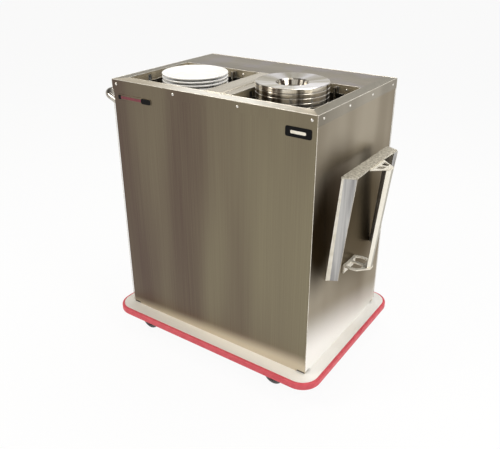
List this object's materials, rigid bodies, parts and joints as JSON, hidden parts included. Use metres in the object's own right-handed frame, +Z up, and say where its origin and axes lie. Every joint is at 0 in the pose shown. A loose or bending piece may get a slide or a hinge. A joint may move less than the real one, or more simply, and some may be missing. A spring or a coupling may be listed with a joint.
{
  "type": "mobile plate dispenser",
  "caption": "Mobile stainless dispenser cabinet with self-levelling wells of plates and steel dish bases, a red bumper base, two handles and swivel casters.",
  "frame": {"origin": "on the floor under the middle of the part's bounding box", "axes": "+X along the cabinet towards the folded handle frame, -Y towards the panel with the two blank badges, +Z up"},
  "size_m": [1.0402, 0.664, 1.0197],
  "materials": {
    "brushed_stainless": "satin",
    "deck_stainless": "satin",
    "fitting_steel": "satin",
    "polished_stainless": "polished",
    "dish_steel": "polished",
    "galvanised_steel": "matte",
    "zinc_plated_steel": "satin",
    "rivet_steel": "satin",
    "spring_steel": "satin",
    "bumper_vinyl": "satin",
    "wheel_polyurethane": "matte",
    "bush_nylon": "matte",
    "black_badge": "gloss",
    "red_badge": "gloss",
    "white_glaze": "gloss"
  },
  "bodies": {
    "cabinet": {"base_channels": "galvanised_steel", "bumper": "bumper_vinyl", "bumper_track": "deck_stainless", "caster_studs": "zinc_plated_steel", "caster_top_plates": "zinc_plated_steel", "corner_posts": "galvanised_steel", "deck": "deck_stainless", "frame_rivets": "rivet_steel", "front_panel": "brushed_stainless", "front_rail": "brushed_stainless", "guide_posts": "polished_stainless", "handle_brackets": "fitting_steel", "handle_grip": "fitting_steel", "handle_legs": "fitting_steel", "handle_screws": "rivet_steel", "handle_top_plate": "fitting_steel", "left_badge_strip": "red_badge", "left_end_panel": "brushed_stainless", "left_rail": "brushed_stainless", "left_springs": "spring_steel", "left_well_walls": "brushed_stainless", "post_collars": "zinc_plated_steel", "post_standoffs": "zinc_plated_steel", "push_handle": "polished_stainless", "push_handle_flanges": "polished_stainless", "rear_panel": "brushed_stainless", "rear_shelf": "brushed_stainless", "right_badge_plate": "black_badge", "right_end_panel": "brushed_stainless", "right_rail": "brushed_stainless", "right_springs": "spring_steel", "right_well_walls": "brushed_stainless", "spring_hangers": "galvanised_steel", "top_divider": "brushed_stainless"},
    "left_carrier": {"left_platform": "brushed_stainless", "left_guide_bushes": "bush_nylon", "left_struts": "brushed_stainless", "left_crossbars": "brushed_stainless"},
    "left_plates": {"plate_stack": "white_glaze"},
    "left_top_plate": {"top_plate": "white_glaze"},
    "right_carrier": {"right_platform": "brushed_stainless", "right_guide_bushes": "bush_nylon", "right_struts": "brushed_stainless", "right_crossbars": "brushed_stainless"},
    "right_dish_bases": {"dish_base_stack": "dish_steel"},
    "right_top_dish_base": {"top_dish_base": "dish_steel"},
    "swivel_front_left": {"caster_fork_front_left": "zinc_plated_steel", "caster_axle_front_left": "zinc_plated_steel"},
    "wheel_front_left": {"caster_wheel_front_left": "wheel_polyurethane"},
    "swivel_front_right": {"caster_fork_front_right": "zinc_plated_steel", "caster_axle_front_right": "zinc_plated_steel"},
    "wheel_front_right": {"caster_wheel_front_right": "wheel_polyurethane"},
    "swivel_rear_left": {"caster_fork_rear_left": "zinc_plated_steel", "caster_axle_rear_left": "zinc_plated_steel"},
    "wheel_rear_left": {"caster_wheel_rear_left": "wheel_polyurethane"},
    "swivel_rear_right": {"caster_fork_rear_right": "zinc_plated_steel", "caster_axle_rear_right": "zinc_plated_steel"},
    "wheel_rear_right": {"caster_wheel_rear_right": "wheel_polyurethane"},
    "brake_front_right": {"brake_pedal_front_right": "zinc_plated_steel"},
    "brake_rear_right": {"brake_pedal_rear_right": "zinc_plated_steel"}
  },
  "joints": [
    {"name": "left_carrier_slide", "type": "slide", "parent": "cabinet", "child": "left_carrier", "axis": [0, 0, 1], "range_m": [-0.42, 0.13], "stiffness_N_per_m": 525, "springref_m": 0.2307, "deforming": ["left_springs"]},
    {"name": "right_carrier_slide", "type": "slide", "parent": "cabinet", "child": "right_carrier", "axis": [0, 0, 1], "range_m": [-0.438, 0.112], "stiffness_N_per_m": 467, "springref_m": 0.2435, "deforming": ["right_springs"]},
    {"name": "plates_lift", "type": "slide", "parent": "left_carrier", "child": "left_plates", "axis": [0, 0, 1], "range_m": [0, 0.3]},
    {"name": "top_plate_lift", "type": "slide", "parent": "left_plates", "child": "left_top_plate", "axis": [0, 0, 1], "range_m": [0, 0.3]},
    {"name": "dish_bases_lift", "type": "slide", "parent": "right_carrier", "child": "right_dish_bases", "axis": [0, 0, 1], "range_m": [0, 0.3]},
    {"name": "top_dish_base_lift", "type": "slide", "parent": "right_dish_bases", "child": "right_top_dish_base", "axis": [0, 0, 1], "range_m": [0, 0.3]},
    {"name": "swivel_turn_front_left", "type": "hinge", "parent": "cabinet", "child": "swivel_front_left", "pos_m": [-0.2794, -0.25, 0.094], "axis": [0, 0, 1], "continuous": true},
    {"name": "wheel_roll_front_left", "type": "hinge", "parent": "swivel_front_left", "child": "wheel_front_left", "pos_m": [-0.3114, -0.25, 0.038], "axis": [0, 1, 0], "continuous": true},
    {"name": "swivel_turn_front_right", "type": "hinge", "parent": "cabinet", "child": "swivel_front_right", "pos_m": [0.3026, -0.25, 0.094], "axis": [0, 0, 1], "continuous": true},
    {"name": "wheel_roll_front_right", "type": "hinge", "parent": "swivel_front_right", "child": "wheel_front_right", "pos_m": [0.2706, -0.25, 0.038], "axis": [0, 1, 0], "continuous": true},
    {"name": "swivel_turn_rear_left", "type": "hinge", "parent": "cabinet", "child": "swivel_rear_left", "pos_m": [-0.2794, 0.25, 0.094], "axis": [0, 0, 1], "continuous": true},
    {"name": "wheel_roll_rear_left", "type": "hinge", "parent": "swivel_rear_left", "child": "wheel_rear_left", "pos_m": [-0.3114, 0.25, 0.038], "axis": [0, 1, 0], "continuous": true},
    {"name": "swivel_turn_rear_right", "type": "hinge", "parent": "cabinet", "child": "swivel_rear_right", "pos_m": [0.3026, 0.25, 0.094], "axis": [0, 0, 1], "continuous": true},
    {"name": "wheel_roll_rear_right", "type": "hinge", "parent": "swivel_rear_right", "child": "wheel_rear_right", "pos_m": [0.2706, 0.25, 0.038], "axis": [0, 1, 0], "continuous": true},
    {"name": "brake_press_front_right", "type": "hinge", "parent": "swivel_front_right", "child": "brake_front_right", "pos_m": [0.2946, -0.25, 0.078], "axis": [0, -1, 0], "range_deg": [0, 13]},
    {"name": "brake_press_rear_right", "type": "hinge", "parent": "swivel_rear_right", "child": "brake_rear_right", "pos_m": [0.2946, 0.25, 0.078], "axis": [0, -1, 0], "range_deg": [0, 13]}
  ]
}
